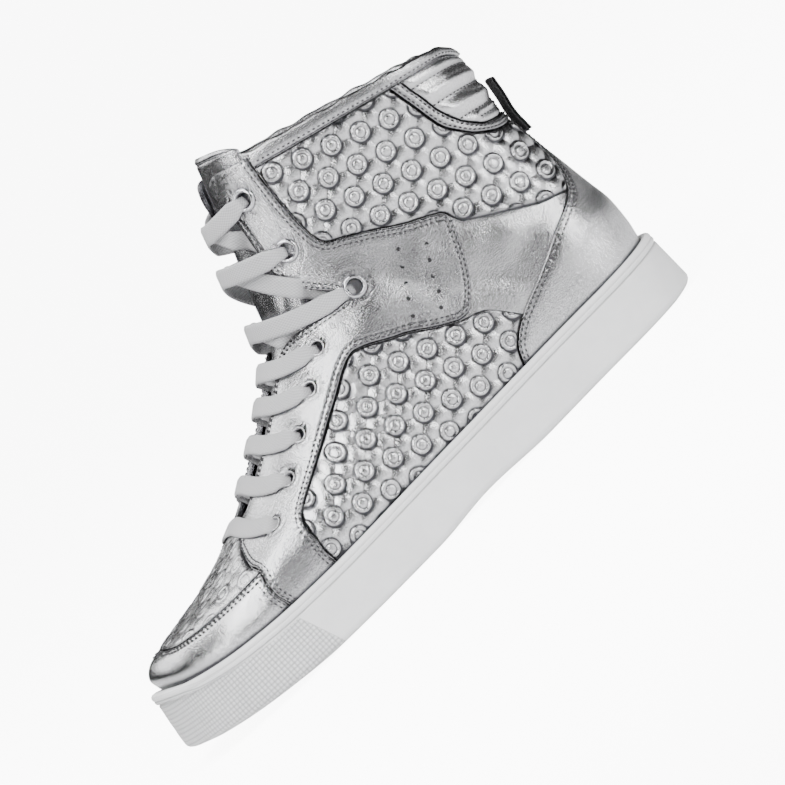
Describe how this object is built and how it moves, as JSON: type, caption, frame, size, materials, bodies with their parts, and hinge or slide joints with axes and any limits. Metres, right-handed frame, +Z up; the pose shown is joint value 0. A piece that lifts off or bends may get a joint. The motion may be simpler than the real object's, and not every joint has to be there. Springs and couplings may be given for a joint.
{
  "type": "high-top dance sneaker",
  "caption": "High-top lace-up dance sneaker in silver leather look, with embossed panels, a ribbed padded cuff, flat laces and a pale rubber cupsole.",
  "frame": {"origin": "middle of the sole's bounding box, on the floor under the sole", "axes": "+X from heel to toe, +Y to the outer side of a left shoe, +Z up"},
  "size_m": [0.2665, 0.0984, 0.1683],
  "materials": {
    "rubber_white": "matt white rubber, smooth side wall with a fine grid at the toe",
    "sock_grey": "grey textile sock",
    "silver_leather": "silver metallic coated leather, fine grain, satin",
    "pale_silver_leather": "bright silver metallic coated leather, glossy",
    "webbing_black": "black ribbed webbing",
    "eyelet_metal": "polished grey metal",
    "lace_grey": "flat woven lace, pale grey"
  },
  "bodies": {
    "root": {"cupsole": "rubber_white", "insole": "sock_grey", "upper": "silver_leather", "toe_rand": "pale_silver_leather", "vamp_panel": "silver_leather", "eyestay": "silver_leather", "quarter_panel_outer": "pale_silver_leather", "quarter_panel_inner": "pale_silver_leather", "ankle_panel_outer": "pale_silver_leather", "ankle_panel_inner": "pale_silver_leather", "heel_counter": "pale_silver_leather", "cuff_strip": "silver_leather", "collar_cuff": "pale_silver_leather", "collar_binding": "silver_leather", "tongue": "silver_leather", "pull_tab": "webbing_black", "eyelet_outer_1": "eyelet_metal", "eyelet_outer_2": "eyelet_metal", "eyelet_outer_3": "eyelet_metal", "eyelet_inner_1": "eyelet_metal", "eyelet_inner_2": "eyelet_metal", "eyelet_inner_3": "eyelet_metal", "lace_cross_1": "lace_grey", "lace_cross_2": "lace_grey", "lace_cross_3": "lace_grey", "lace_cross_4": "lace_grey", "lace_cross_5": "lace_grey", "lace_cross_6": "lace_grey", "lace_cross_7": "lace_grey", "lace_bar_8": "lace_grey"}
  },
  "joints": []
}
